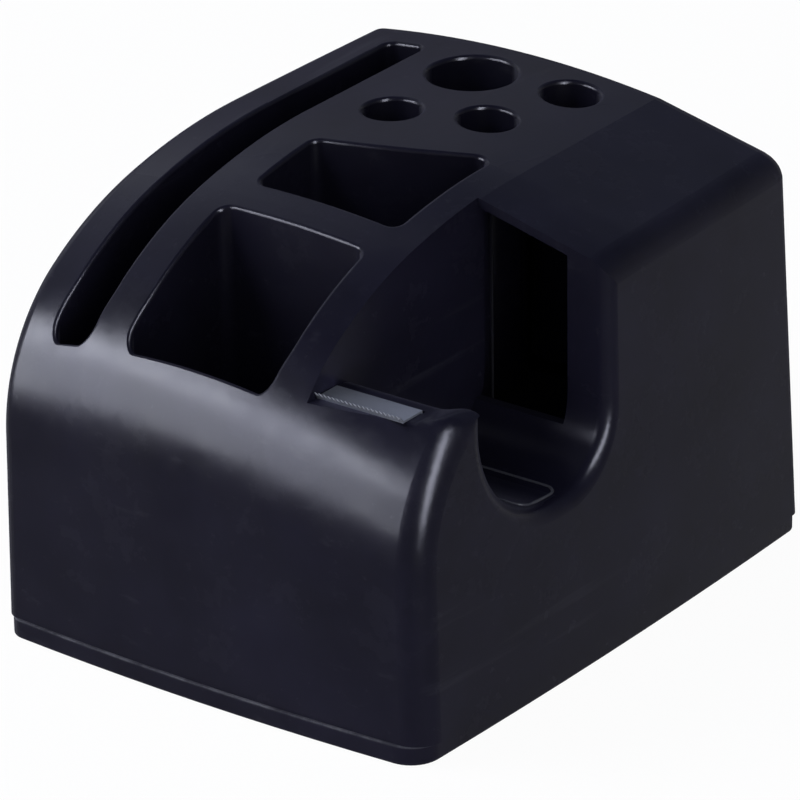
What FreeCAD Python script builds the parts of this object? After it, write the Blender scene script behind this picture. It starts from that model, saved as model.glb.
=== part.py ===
"""Desk organiser with a tape dispenser and a side drawer, as a parametric FreeCAD document.

Frame: millimetres, X to the right seen from the front, Y to the rear, Z up. The origin is on the
surface that the organiser stands on, under the middle of its base. The blade faces the front, -Y,
and the drawer opens to the left, -X.

The housing is one moulding, worked out as its mould is: an outer form with the pockets carved
into it, minus a core. The core is the same form one wall smaller, with a tub left round each
pocket.
"""
import FreeCAD, Part
import Sketcher
import math
import os

from FreeCAD import Rotation, Vector

DOC = FreeCAD.newDocument("desk_organiser")
SHEET = DOC.addObject("Spreadsheet::Sheet", "dims")

# Driving dimensions in millimetres and degrees: alias, value, meaning.
SIZES = [
    ("body_width", 120, "housing, across X at the parting line"),
    ("body_depth", 151, "housing, along Y at the parting line"),
    ("wall", 2.2, "wall of the housing and of its tubs"),
    ("front_bow", 2.2, "how far the front wall bows out at its middle"),
    ("side_bow", 1.5, "how far each side wall bows out at its middle"),
    ("side_draft", 1.1, "lean of the side walls, degrees"),
    ("rear_draft", 3.4, "lean of the rear wall, degrees"),
    ("overhang", 6, "how far the form's cutters run past it"),
    ("front_height", 50.7, "top of the upright part of the front wall"),
    ("brow_radius", 43.2, "first arc of the side profile"),
    ("brow_heading", 33.4, "heading where the first arc ends, degrees"),
    ("slope_radius", 93.8, "second arc of the side profile"),
    ("slope_heading", 14.5, "heading where the second arc ends, degrees"),
    ("roof_radius", 170, "third arc of the side profile"),
    ("roof_heading", 0.8, "heading of the straight top behind the arcs, degrees"),
    ("crown_radius", 277, "arc of the top across X"),
    ("crown_centre", -16, "X of the crown's highest line"),
    ("crease_x", 24.8, "X of the crease where the lane's roof begins"),
    ("lane_fall", 0.24, "slope of the lane's roof down to the right"),
    ("pry_front", 3, "pry lip over the parting line on the right, front end"),
    ("pry_length", 12, "pry lip, along Y"),
    ("pry_height", 1.1, "pry lip, along Z"),
    ("pry_proud", 0.8, "pry lip, how far it stands out at its middle"),
    ("left_round", 4, "round of the left top edge and corners"),
    ("right_round", 7, "round of the right top edge and front corner"),
    ("rear_round", 4.5, "round of the rear edges"),
    ("rear_corner", 3, "round of the rear right corner"),
    ("rim_round", 0.9, "round of the pocket rims"),
    ("floor_height", 45, "pocket floors, above the table"),
    ("slot_left", -47, "long slot, left side"),
    ("slot_right", -36, "long slot, right side"),
    ("front_margin", 4.3, "from the front wall to the long slot and the front pocket"),
    ("slot_rear", 58, "long slot, rear end"),
    ("slot_corner", 3, "long slot, corner radius"),
    ("front_pocket_left", -25.4, "front pocket, left side"),
    ("front_pocket_right", 14.8, "front pocket, right side"),
    ("front_pocket_rear", -34, "front pocket, rear side"),
    ("rear_pocket_left", -23.4, "rear pocket, left side"),
    ("rear_pocket_right", 16.2, "rear pocket, right side"),
    ("rear_pocket_front", -24.4, "rear pocket, front side"),
    ("rear_pocket_short", -2.4, "rear pocket, where its left side ends"),
    ("rear_pocket_long", 14.5, "rear pocket, where its right side ends"),
    ("rear_pocket_sag", 2.6, "rise of the arc that closes the rear pocket"),
    ("pocket_corner", 3, "corner radius of both pockets"),
    ("pen_bore", 14, "small pen holes"),
    ("marker_bore", 21.6, "large pen hole"),
    ("lane_left", 24, "tape lane, left side"),
    ("lane_front", 24.3, "tape lane, its front wall behind the housing's front"),
    ("lane_rear", 71.3, "tape lane, its rear wall behind the housing's front"),
    ("lane_floor", 46, "tape lane, lowest point of its floor"),
    ("lane_front_radius", 27, "floor arc at the front of the lane"),
    ("lane_rear_radius", 17, "floor arc at the rear of the lane"),
    ("lane_brow", 4, "round of the lane's front wall where it meets the blade seat"),
    ("brow_step", 0.03, "start of that round behind the lane's front wall"),
    ("lip_round", 3.5, "round of the lane's mouth in the right wall"),
    ("window_right", 48.6, "window in the lane's rear wall, right side"),
    ("window_sill", 55.5, "window in the lane's rear wall, sill"),
    ("seat_rise", 26.9, "blade seat, above the upright part of the front wall"),
    ("seat_sweep", 9, "blade seat, arc by which its right side rises past the blade"),
    ("blade_rear", 17.6, "blade, rear face of its tail behind the housing's front"),
    ("blade_length", 23.4, "blade, along X"),
    ("blade_reach", 6.9, "blade, from its tail to the bend at its teeth"),
    ("blade_sheet", 0.5, "blade, thickness of the steel"),
    ("blade_tail", 6, "blade, depth of the tail in its slot"),
    ("tooth_count", 20, "blade, number of gaps between teeth"),
    ("tooth_height", 1.3, "blade, rise of the toothed edge"),
    ("tooth_lean", 1.1, "blade, run of the toothed edge to the front"),
    ("tooth_tip", 0.2, "blade, thickness at the ground tips"),
    ("slot_gap", 0.8, "gap behind the blade's tail"),
    ("base_rise", 0.3, "underside of the base plate above the table"),
    ("parting_height", 5.2, "top of the base rim, where the housing stands"),
    ("base_floor", 2.4, "thickness of the base plate"),
    ("base_round", 0.8, "round of the base's lower edge"),
    ("rim_proud", 0.6, "how far the base rim stands out from the housing"),
    ("tongue_height", 3, "locating tongue inside the housing wall"),
    ("tongue_width", 1.6, "locating tongue, thickness"),
    ("fit_gap", 0.3, "clearance between mouldings"),
    ("boss_side", 13, "screw bosses, in from the side walls"),
    ("boss_end", 9.5, "screw bosses, in from the front and rear walls"),
    ("boss_diameter", 7, "screw bosses"),
    ("boss_height", 20, "screw bosses, length"),
    ("boss_rib", 1.6, "ribs from the bosses to the walls"),
    ("pilot", 2.4, "pilot holes in the bosses"),
    ("screw_diameter", 2.9, "self-tapping screws, thread"),
    ("screw_length", 10, "self-tapping screws, under the head"),
    ("screw_head", 5.6, "self-tapping screws, head diameter"),
    ("head_height", 2, "self-tapping screws, head height"),
    ("head_depth", 2.4, "counterbore of the screw heads, depth"),
    ("foot_diameter", 12, "foot pads"),
    ("foot_height", 1.5, "foot pads"),
    ("foot_side", 16, "foot pads, in from the side walls"),
    ("foot_end", 23.5, "foot pads, in from the front and rear walls"),
    ("drawer_width", 104, "drawer front, along Y"),
    ("drawer_high", 37, "drawer front, upper edge"),
    ("drawer_inner_end", 24, "drawer tray, X of its inner end"),
    ("drawer_wall", 1.8, "drawer walls and floor"),
    ("drawer_front_wall", 2, "drawer front panel"),
    ("drawer_gap", 0.5, "gap round the drawer front"),
    ("drawer_travel", 68, "how far the drawer slides out"),
    ("stop_reach", 3.4, "stop lugs on the drawer's sides, how far they stand out"),
    ("stop_length", 4, "stop lugs, along X"),
    ("stop_height", 6, "stop lugs, along Z"),
    ("pull_radius", 13, "finger scoop in the drawer front"),
    ("pull_depth", 9, "finger scoop, below the upper edge"),
    ("tray_gap", 1.4, "from the edge of the drawer front in to the tray's side"),
    ("runner_y", 30, "runners under the drawer, Y either side"),
    ("runner_width", 4, "runners under the drawer"),
    ("rail_height", 6, "guide rails on the base plate"),
    ("rail_width", 1.8, "guide rails, thickness"),
    ("ballast_side", 8, "ballast block, in from the right wall"),
    ("ballast_width", 22, "ballast block, along X"),
    ("ballast_length", 92, "ballast block, along Y"),
    ("ballast_height", 18, "ballast block, along Z"),
    ("ballast_round", 2, "ballast block, edge radius"),
    ("peg_diameter", 6, "pegs that locate the ballast block"),
    ("peg_height", 7, "pegs that locate the ballast block"),
    ("peg_y", 32, "pegs, Y either side"),
]
for row, (alias, value, meaning) in enumerate(SIZES, start=1):
    SHEET.set(f"A{row}", alias.replace("_", " "))
    SHEET.set(f"B{row}", str(value))
    SHEET.set(f"C{row}", meaning)
    SHEET.setAlias(f"B{row}", alias)
DOC.recompute()

# The four pen holes: X, Y of each, and the size it is bored to.
PEN_HOLES = {
    "pen_hole_left": (-18.5, 20.8, "pen_bore"),
    "pen_hole_middle": (2.6, 29.2, "pen_bore"),
    "pen_hole_right": (9.0, 53.4, "pen_bore"),
    "marker_hole": (-16.2, 49.1, "marker_bore"),
}
PIECES = []


def behind_front(alias):
    """The Y expression of a place that the sheet gives by its distance behind the front."""
    return f"(dims.{alias} - dims.body_depth / 2)"


LANE_FRONT, LANE_REAR = behind_front("lane_front"), behind_front("lane_rear")
BLADE_REAR = behind_front("blade_rear")
BLADE_END = "(dims.lane_left + dims.blade_length + 2 * dims.fit_gap)"
SEAT_HEIGHT = "(dims.front_height + dims.seat_rise)"
BALLAST_MIDDLE = "(dims.body_width / 2 - dims.ballast_side - dims.ballast_width / 2)"
CLEAR_ABOVE = "dims.front_height * 2.4"


def size(alias):
    return float(getattr(SHEET, alias))


def tan(alias):
    return math.tan(math.radians(size(alias)))


def y_of(alias):
    """Y of a place that the sheet gives by its distance behind the front."""
    return size(alias) - size("body_depth") / 2


def seat_height():
    return size("front_height") + size("seat_rise")


def bind(obj, **expressions):
    """Tie properties to expressions; a double underscore stands for the dot of a sub-property."""
    for name, expression in expressions.items():
        obj.setExpression(name.replace("__", "."), expression)
    return obj


def outline(name, corners, height, arcs=None):
    """A closed sketch parallel to XY through corners given as pairs of expressions, anticlockwise.

    arcs maps the number of a side to its radius and to 1 where it bulges out, or -1 where it
    bulges in.
    """
    sketch = DOC.addObject("Sketcher::SketchObject", name)
    bind(sketch, Placement__Base__z=height)
    draw(sketch, corners, arcs or {})
    return sketch


def draw(sketch, corners, arcs):
    """Fill a sketch with an outline whose corners and arcs follow their expressions."""
    points = [Vector(sketch.evalExpression(x), sketch.evalExpression(y), 0) for x, y in corners]
    for index, start in enumerate(points):
        end = points[(index + 1) % len(points)]
        side = Part.LineSegment(start, end)
        if index in arcs:
            side = bulged(start, end, sketch.evalExpression(arcs[index][0]), arcs[index][1])
        sketch.addGeometry(side, False)
    for index, corner in enumerate(points):
        before = index - 1 if index else len(points) - 1
        start, end = end_at(sketch, index, corner), end_at(sketch, before, corner)
        sketch.addConstraint(Sketcher.Constraint("Coincident", before, end, index, start))
        tie_point(sketch, index, start, "DistanceX", corners[index][0])
        tie_point(sketch, index, start, "DistanceY", corners[index][1])
    for index, (radius, _) in arcs.items():
        value = sketch.evalExpression(radius)
        number = sketch.addConstraint(Sketcher.Constraint("Radius", index, value))
        sketch.setExpression(f"Constraints[{number}]", radius)


def bulged(start, end, radius, way):
    """The arc from start to end that bulges to the right of its run, or to the left for -1."""
    half = (end - start).Length / 2
    sag = radius - math.sqrt(radius**2 - half**2)
    aside = (end - start).cross(Vector(0, 0, 1)).normalize() * way
    return Part.Arc(start, (start + end) / 2 + aside * sag, end)


def end_at(sketch, index, point):
    """Which end of a side lies at a point: 1 for its start, 2 for its end."""
    return min((1, 2), key=lambda end: sketch.getPoint(index, end).distanceToPoint(point))


def tie_point(sketch, index, end, kind, expression):
    """Hold an end of a side at an expression's distance from the sketch's origin."""
    value = sketch.evalExpression(expression)
    number = sketch.addConstraint(Sketcher.Constraint(kind, -1, 1, index, end, value))
    sketch.setExpression(f"Constraints[{number}]", expression)


def rectangle(left, right, front, rear):
    return [(left, front), (right, front), (right, rear), (left, rear)]


def raised(name, sketch, length, taper="0"):
    """The sketch drawn straight up by a length, its walls leaning out by a taper in degrees."""
    solid = DOC.addObject("Part::Extrusion", name)
    solid.Base = sketch
    solid.DirMode = "Normal"
    solid.Solid = True
    return bind(solid, LengthFwd=length, TaperAngle=taper)


def box(name, left, right, front, rear, low, high):
    solid = DOC.addObject("Part::Box", name)
    bind(solid, Placement__Base__x=left, Placement__Base__y=front, Placement__Base__z=low)
    return bind(solid, Length=f"{right} - ({left})", Width=f"{rear} - ({front})",
                Height=f"{high} - ({low})")


def cylinder(name, across, x, y, low, high):
    solid = DOC.addObject("Part::Cylinder", name)
    bind(solid, Placement__Base__x=x, Placement__Base__y=y, Placement__Base__z=low)
    return bind(solid, Radius=f"({across}) / 2", Height=f"{high} - ({low})")


def cut(name, base, tool):
    solid = DOC.addObject("Part::Cut", name)
    solid.Base, solid.Tool = base, tool
    return solid


def joined(name, shapes, kind="Part::MultiFuse"):
    solid = DOC.addObject(kind, name)
    solid.Shapes = shapes
    return solid


def rounded(name, base, picks):
    """Fillet a solid's edges; picks is a list of (test of an edge, radius), the first hit counts."""
    DOC.recompute()
    edges = []
    for number, edge in enumerate(base.Shape.Edges, start=1):
        for test, radius in picks:
            if test(edge):
                edges.append((number, radius, radius))
                break
    solid = DOC.addObject("Part::Fillet", name)
    solid.Base = base
    solid.Edges = edges
    return solid


def middle(edge):
    return edge.valueAt((edge.FirstParameter + edge.LastParameter) / 2)


def upright(edge):
    """True of an edge that stands up, give or take its draft."""
    ends = [vertex.Point for vertex in edge.Vertexes]
    if len(ends) < 2:
        return False
    run = ends[1] - ends[0]
    return abs(run.z) > 10 * math.hypot(run.x, run.y)


def within(x=None, y=None, z=None, longer=0):
    """A test of an edge: its middle lies in these ranges, and it is longer than this."""
    def test(edge):
        spot = middle(edge)
        spans = ((spot.x, x), (spot.y, y), (spot.z, z))
        inside = all(span is None or span[0] < value < span[1] for value, span in spans)
        return inside and edge.Length > longer
    return test


def piece(obj, label):
    """Name a finished sub-part."""
    obj.Label = label
    PIECES.append(obj)
    return obj


# Housing: outer form and core


def crown(x):
    """Height of the top at x above the height at the left wall."""
    left_reach = size("body_width") / 2 + size("crown_centre")
    across = x - size("crown_centre")
    return (left_reach**2 - across**2) / (2 * size("crown_radius"))


def bow(x):
    """How far the front wall stands forward at x."""
    return size("front_bow") * (1 - (2 * x / size("body_width")) ** 2)


def side_profile(x, rise, inset):
    """The side profile at x as pieces, each with its poles and weights, one inset inside the form.

    It runs up the front wall, over three arcs and the straight top, and down the rear wall.
    """
    low = size("parting_height")
    front = inset - size("body_depth") / 2 - bow(x)
    foot = Vector(x, front, low)
    point = Vector(x, front, size("front_height") + rise)
    pieces = [([foot, point], [1, 1])]
    heading = math.pi / 2
    for stem in ("brow", "slope", "roof"):
        radius = size(f"{stem}_radius") - inset
        ahead = math.radians(size(f"{stem}_heading"))
        half = (heading - ahead) / 2
        corner = point + along(heading) * radius * math.tan(half)
        end = corner + along(ahead) * radius * math.tan(half)
        pieces.append(([point, corner, end], [1, math.cos(half), 1]))
        point, heading = end, ahead
    heel = Vector(x, size("body_depth") / 2 - inset, low)
    lean = tan("rear_draft")
    run = (heel.y - point.y - lean * (point.z - low)) / (1 + lean * math.tan(heading))
    top = point + Vector(0, run, run * math.tan(heading))
    return pieces + [([point, top], [1, 1]), ([top, heel], [1, 1]), ([heel, foot], [1, 1])]


def along(heading):
    """The direction of a heading in a plane parallel to YZ."""
    return Vector(0, math.cos(heading), math.sin(heading))


def skin(name, left, right, rise, inset):
    """A solid with the side profile from left to right, its top raised by rise(x).

    Rise and bow are quadratic in x, so each piece of the profile sweeps one exact patch.
    """
    ends_and_middle = [side_profile(x, rise(x), inset) for x in (left, (left + right) / 2, right)]
    faces, rims = [], ([], [])
    for first, half_way, last in zip(*ends_and_middle):
        degree = len(first[0]) - 1
        rows = [(a, 2 * b - (a + c) / 2, c) for a, b, c in zip(first[0], half_way[0], last[0])]
        weights = [(weight,) * 3 for weight in first[1]]
        patch = Part.BSplineSurface()
        patch.buildFromPolesMultsKnots(rows, (degree + 1,) * 2, (3, 3), (0, 1), (0, 1), False, False,
                                       degree, 2, weights)
        faces.append(patch.toShape())
        for rim, poles in zip(rims, (first[0], last[0])):
            curve = Part.BSplineCurve()
            curve.buildFromPolesMultsKnots(poles, (degree + 1,) * 2, (0, 1), False, degree, first[1])
            rim.append(curve.toShape())
    faces += [Part.Face(Part.Wire(rim)) for rim in rims]
    shell = Part.Shell(faces)
    shell.sewShape()
    block = DOC.addObject("Part::Feature", name)
    block.Shape = Part.makeSolid(shell)
    return block


def bowed_block(name, inset):
    """The skin of the front, top and rear, left long at both sides."""
    reach = size("body_width") / 2 + size("overhang")
    return skin(name, -reach, reach, crown, inset)


def lane_roof(name, inset):
    """What is cut off over the lane: right of the crease the top falls away in a straight line."""
    crease, reach = size("crease_x"), size("body_width") / 2 + 2 * size("overhang")

    def falling(x):
        return crown(crease) - size("lane_fall") * (x - crease)

    under = skin(f"{name}_under", crease - 2 * size("overhang"), reach, falling, inset)
    over = box(f"{name}_over", "dims.crease_x - dims.overhang", "dims.body_width / 2 + dims.overhang",
               f"({LANE_FRONT} + {LANE_REAR}) / 2", "dims.body_depth / 2 + dims.overhang",
               "dims.front_height", CLEAR_ABOVE)
    return cut(name, over, under)


def side_prism(name, inset):
    """The space between the side walls, which bow in plan and lean in towards the top."""
    sides = "(dims.body_depth / 2 + dims.overhang)"
    radius = "((dims.body_depth / 2) ^ 2 + dims.side_bow ^ 2) / (2 * dims.side_bow)"
    drop = f"{sides} ^ 2 / (2 * {radius}) - dims.side_bow"
    half = f"(dims.body_width / 2 - ({inset}) - ({drop}))"
    far = "(dims.body_width + dims.overhang)"
    walls = []
    for side, way, corners in (("right", 1, rectangle(f"-{far}", half, f"-{sides}", sides)),
                               ("left", -1, rectangle(f"-{half}", far, f"-{sides}", sides))):
        plan = outline(f"{name}_{side}_plan", corners, "dims.parting_height",
                       {1 if way > 0 else 3: (radius, 1)})
        wall = raised(f"{name}_{side}", plan, CLEAR_ABOVE)
        wall.DirMode = "Custom"
        bind(wall, Dir__x=f"{-way} * tan(dims.side_draft)", Dir__z="1 + 0 * dims.side_draft")
        wall.Dir = Vector(-way * tan("side_draft"), 0, 1)
        walls.append(wall)
    return joined(name, walls, "Part::MultiCommon")


def shell_form(name, inset_value, inset):
    """The outer form of the housing, or its core where the inset is the wall."""
    block = bowed_block(f"{name}_block", inset_value)
    sides = side_prism(f"{name}_sides", inset)
    full = joined(f"{name}_full", [block, sides], "Part::MultiCommon")
    return cut(name, full, lane_roof(f"{name}_roof", inset_value))


# Cutters: each pocket, and the tub round it when it is grown by the wall


def plain_pocket(name, stem, grow="0"):
    """An upright pocket behind the front wall, its other sides named after its stem in the sheet."""
    left, right, rear = (f"dims.{stem}_{side}" for side in ("left", "right", "rear"))
    return box(f"{name}_straight", f"{left} - {grow}", f"{right} + {grow}",
               f"{behind_front('front_margin')} - {grow}", f"{rear} + {grow}",
               f"dims.floor_height - {grow}", CLEAR_ABOVE)


def rear_pocket(name, grow="0"):
    """The rear pocket, whose rear wall is an arc that bends in past the pen holes."""
    left, right = f"dims.rear_pocket_left - {grow}", f"dims.rear_pocket_right + {grow}"
    front = f"dims.rear_pocket_front - {grow}"
    short, long = f"dims.rear_pocket_short + {grow}", f"dims.rear_pocket_long + {grow}"
    corners = [(left, front), (right, front), (right, long), (left, short)]
    chord = (f"(({right} - ({left})) ^ 2 + ({long} - ({short})) ^ 2)")
    sag = "dims.rear_pocket_sag"
    radius = f"({chord} / 4 + {sag} ^ 2) / (2 * {sag})"
    plan = outline(f"{name}_plan", corners, f"dims.floor_height - {grow}", {2: (radius, -1)})
    return raised(f"{name}_straight", plan, "dims.body_depth / 2")


def soft_corners(name, base, radius):
    """Round a pocket's upright corners."""
    return rounded(name, base, [(upright, radius)])


def pen_holes(stem, grow="0"):
    holes = []
    for name, (x, y, bore) in PEN_HOLES.items():
        across = f"dims.{bore} + 2 * {grow}"
        holes.append(cylinder(f"{name}_{stem}", across, str(x), str(y),
                              f"dims.floor_height - {grow}", CLEAR_ABOVE))
    return holes


def lane(name, grow="0"):
    """The channel that the tape roll lies in, which runs out through the right wall."""
    right = "dims.body_width / 2 + dims.overhang"
    channel = box(f"{name}_square", f"dims.lane_left - {grow}", right, f"{LANE_FRONT} - {grow}",
                  f"{LANE_REAR} + {grow}", f"dims.lane_floor - {grow}", CLEAR_ABOVE)
    extra = size("wall") if grow != "0" else 0
    low = size("lane_floor") - extra
    front, rear = y_of("lane_front") - extra, y_of("lane_rear") + extra

    def along_floor(y):
        return lambda edge: edge.Length > 20 and middle(edge).distanceToLine(
            Vector(0, y, low), Vector(1, 0, 0)) < 0.01

    return rounded(name, channel, [
        (along_floor(front), size("lane_front_radius") + extra),
        (along_floor(rear), size("lane_rear_radius") + extra)])


def carvers():
    """What is cut from the outer form, with softened upright corners."""
    slot = soft_corners("slot_cut", plain_pocket("slot_cut", "slot"), size("slot_corner"))
    front = plain_pocket("front_pocket_cut", "front_pocket")
    front = soft_corners("front_pocket_cut", front, size("pocket_corner"))
    rear = soft_corners("rear_pocket_cut", rear_pocket("rear_pocket_cut"), size("pocket_corner"))
    return [slot, front, rear] + pen_holes("cut")


def tubs():
    """What the core leaves standing round each pocket."""
    grow = "dims.wall"
    slot = soft_corners("slot_tub", plain_pocket("slot_tub", "slot", grow),
                        size("slot_corner") + size("wall"))
    front = soft_corners("front_pocket_tub", plain_pocket("front_pocket_tub", "front_pocket", grow),
                         size("pocket_corner") + size("wall"))
    rear = soft_corners("rear_pocket_tub", rear_pocket("rear_pocket_tub", grow),
                        size("pocket_corner") + size("wall"))
    return [slot, front, rear, lane("lane_tub", grow)] + pen_holes("tub", grow)


# Housing


def outer_rounds(form):
    """Round the outside of the form and the mouth of the lane in its right wall."""
    side, rear = size("body_width") / 2 - 2, size("body_depth") / 2
    low, roof = size("parting_height") + 4, size("front_height") + size("brow_radius")
    upper = size("front_height") + 0.8 * size("brow_radius")
    lane_span = (y_of("lane_front") - 0.1, y_of("lane_rear") + 0.1)
    ahead, behind = (-2 * rear, y_of("lane_front") - 0.8), (rear - 8, 2 * rear)
    any_x, leftmost = (-2 * side, 2 * side), (-2 * side, -side)
    rightmost, beside = (side, 2 * side), (-2 * rear, rear - 10)
    return rounded("outer_rounds", form, [
        (within(leftmost, beside, (low, 2 * roof), 5), size("left_round")),
        (within(leftmost, behind, None, size("front_height")), size("rear_round")),
        (within(rightmost, behind, None, size("front_height")), size("rear_corner")),
        (within(any_x, behind, (roof, 2 * roof), 5), size("rear_round")),
        (within(rightmost, ahead, (low, 2 * roof)), size("right_round")),
        (within(rightmost, (0, rear), (upper + 5, 2 * roof), 5), size("right_round")),
        (within(rightmost, lane_span, (low, upper + 5)), size("lip_round"))])


def blade_end():
    """X at the right end of the blade, with its clearance."""
    return size("lane_left") + size("blade_length") + 2 * size("fit_gap")


def seat(name, grow="0"):
    """The flat that the blade lies on, swept up at its right to the outside of the housing."""
    block = box(f"{name}_square", f"dims.lane_left - {grow}", f"{BLADE_END} + dims.seat_sweep + {grow}",
                "-dims.body_depth / 2 - dims.overhang", f"{LANE_FRONT} + dims.wall + {grow}",
                f"{SEAT_HEIGHT} - {grow}", CLEAR_ABOVE)
    extra = size("wall") if grow != "0" else 0
    lower = within((blade_end() + 1, size("body_width")), None, (0, seat_height() + 0.1), 20)
    return rounded(name, block, [(lower, size("seat_sweep") + extra)])


def seat_with_brow():
    """The seat's cutter, widened below its rear end to leave a round brow over the lane."""
    start = f"{LANE_FRONT} + dims.brow_step"
    drop = box("lane_drop", "dims.lane_left", f"{BLADE_END} + dims.seat_sweep + dims.overhang", start,
               f"{start} + dims.wall", "dims.lane_floor + dims.lane_front_radius", CLEAR_ABOVE)
    both = joined("seat_and_drop", [seat("seat_cut"), drop])
    step = y_of("lane_front") + size("brow_step")
    brow = within((size("lane_left") + 1, blade_end() + size("seat_sweep") + 0.1),
                  (step - 0.01, step + 0.01), (seat_height() - 1, 2 * size("front_height")))
    return rounded("seat_with_brow", both, [(brow, size("lane_brow"))])


def tail_slot(name, grow="0"):
    """The slot in the seat that takes the tail of the blade."""
    return box(name, f"dims.lane_left - {grow}", f"{BLADE_END} + {grow}",
               f"{BLADE_REAR} - dims.blade_sheet - dims.fit_gap / 2 - {grow}",
               f"{BLADE_REAR} + dims.slot_gap + {grow}",
               f"{SEAT_HEIGHT} - dims.blade_tail - dims.fit_gap - {grow}", SEAT_HEIGHT)


def corner_posts():
    """The screw bosses in the four corners, each with two ribs to the walls."""
    posts = []
    top = "dims.parting_height + dims.boss_height"
    for number, (way_x, way_y, x, y) in enumerate(corners_of("boss"), start=1):
        posts.append(cylinder(f"boss_{number}", "dims.boss_diameter", x, y, "dims.parting_height", top))
        half = "dims.boss_rib / 2"
        posts.append(box(f"boss_side_rib_{number}", *ordered(x, f"{way_x} * dims.body_width / 2", way_x),
                         f"{y} - {half}", f"{y} + {half}", "dims.parting_height", top))
        posts.append(box(f"boss_end_rib_{number}", f"{x} - {half}", f"{x} + {half}",
                         *ordered(y, f"{way_y} * dims.body_depth / 2", way_y),
                         "dims.parting_height", top))
    return posts


def ordered(near, far, way):
    """Two limits in rising order, given that far lies to this side of near."""
    return (near, far) if way > 0 else (far, near)


def housing():
    form = shell_form("outer_form", 0, "0")
    rounds = outer_rounds(cut("form_with_lane", form, lane("lane_cut")))
    carved = rims(cut("carved", rounds, joined("pocket_cuts", carvers())))
    seated = cut("seated", carved, seat_with_brow())
    inner = shell_form("core_form", size("wall"), "dims.wall")
    kept = joined("kept_in_core", tubs() + [seat("seat_tub", "dims.wall"), tail_slot("slot_tub_box", "dims.wall")]
                  + corner_posts())
    core = cut("core", inner, kept)
    shell = cut("shell", seated, core)
    openings = joined("housing_openings", [tail_slot("tail_slot"), drawer_hole(), window(inner)]
                      + pilots())
    opened = cut("opened", shell, openings)
    piece(joined("housing_solid", [opened, pry_lip()]), "housing")
    return form


def rims(carved):
    """Ease the rims of the pockets and holes."""
    floor, high = size("floor_height"), 3 * size("front_height")
    reach = 0.6
    above = (floor + 5, high)
    picks = []
    for stem in ("slot", "front_pocket"):
        picks.append(within((size(f"{stem}_left") - reach, size(f"{stem}_right") + reach),
                            (y_of("front_margin") - reach, size(f"{stem}_rear") + reach), above))
    picks.append(within((size("rear_pocket_left") - 1, size("rear_pocket_right") + 1),
                        (size("rear_pocket_front") - 1, size("rear_pocket_long") + 1), above))
    for x, y, bore in PEN_HOLES.values():
        half = size(bore) / 2 + reach
        picks.append(within((x - half, x + half), (y - half, y + half), above))

    def rim(edge):
        return not upright(edge) and any(test(edge) for test in picks)

    return rounded("rims", carved, [(rim, size("rim_round"))])


def window(inner):
    """The opening in the lane's rear wall, up to the underside of the top."""
    tall = box("window_tall", "dims.lane_left", "dims.window_right", f"{LANE_REAR} - dims.overhang",
               f"{LANE_REAR} + dims.wall + dims.fit_gap", "dims.window_sill", CLEAR_ABOVE)
    return joined("window_cut", [tall, inner], "Part::MultiCommon")


def drawer_hole():
    """The opening for the drawer in the left wall, down to the parting line."""
    edge = "(dims.drawer_width / 2 + dims.drawer_gap)"
    return box("drawer_hole", "-dims.body_width / 2 - dims.overhang",
               "-dims.body_width / 2 + 3 * dims.wall", f"-{edge}", edge,
               "dims.parting_height - dims.wall", "dims.drawer_high + dims.drawer_gap")


def corners_of(stem):
    """Which way each of the four corners lies, and X and Y of what stands there."""
    x, y = f"(dims.body_width / 2 - dims.{stem}_side)", f"(dims.body_depth / 2 - dims.{stem}_end)"
    return [(way_x, way_y, f"{way_x} * {x}", f"{way_y} * {y}")
            for way_x in (1, -1) for way_y in (1, -1)]


def pilots():
    holes = []
    for number, (_, _, x, y) in enumerate(corners_of("boss"), start=1):
        holes.append(cylinder(f"pilot_{number}", "dims.pilot", x, y, "dims.parting_height - dims.wall",
                              "dims.base_rise + dims.head_depth + dims.screw_length + 2"))
    return holes


def pry_lip():
    """The small lip on the right wall by which the housing is lifted off its base."""
    face, rear = "dims.body_width / 2", "dims.pry_front + dims.pry_length"
    corners = rectangle(f"{face} - dims.wall / 2", f"{face} - 0.1", "dims.pry_front", rear)
    radius = "((dims.pry_length / 2) ^ 2 + dims.pry_proud ^ 2) / (2 * dims.pry_proud)"
    plan = outline("pry_plan", corners, "dims.parting_height", {1: (radius, 1)})
    return raised("pry_lip", plan, "dims.pry_height")


# Base plate


def base_outline(name, proud, height):
    """The housing's plan at the parting line, moved outward."""
    side, end = f"(dims.body_width / 2 - dims.side_bow + {proud})", f"(dims.body_depth / 2 + {proud})"
    corners = rectangle(f"-{side}", side, f"-{end}", end)
    front_arc = f"({side} ^ 2 + dims.front_bow ^ 2) / (2 * dims.front_bow)"
    side_arc = f"({end} ^ 2 + dims.side_bow ^ 2) / (2 * dims.side_bow)"
    arcs = {0: (front_arc, 1), 1: (side_arc, 1), 3: (side_arc, 1)}
    return outline(name, corners, height, arcs)


def cornered(name, base, proud):
    """Round the four upright corners of a base outline as the housing's are."""
    def at(way_x, way_y):
        return lambda edge: (edge.Length < 12 and middle(edge).x * way_x > size("body_width") / 3
                             and middle(edge).y * way_y > size("body_depth") / 3
                             and abs(edge.Vertexes[0].Z - edge.Vertexes[-1].Z) > 0.8 * edge.Length)

    def radius(alias):
        return max(size(alias) + proud, size("rim_round"))

    return rounded(name, base, [(at(1, -1), radius("right_round")), (at(-1, -1), radius("left_round")),
                                (at(1, 1), radius("rear_corner")), (at(-1, 1), radius("rear_round"))])


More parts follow.
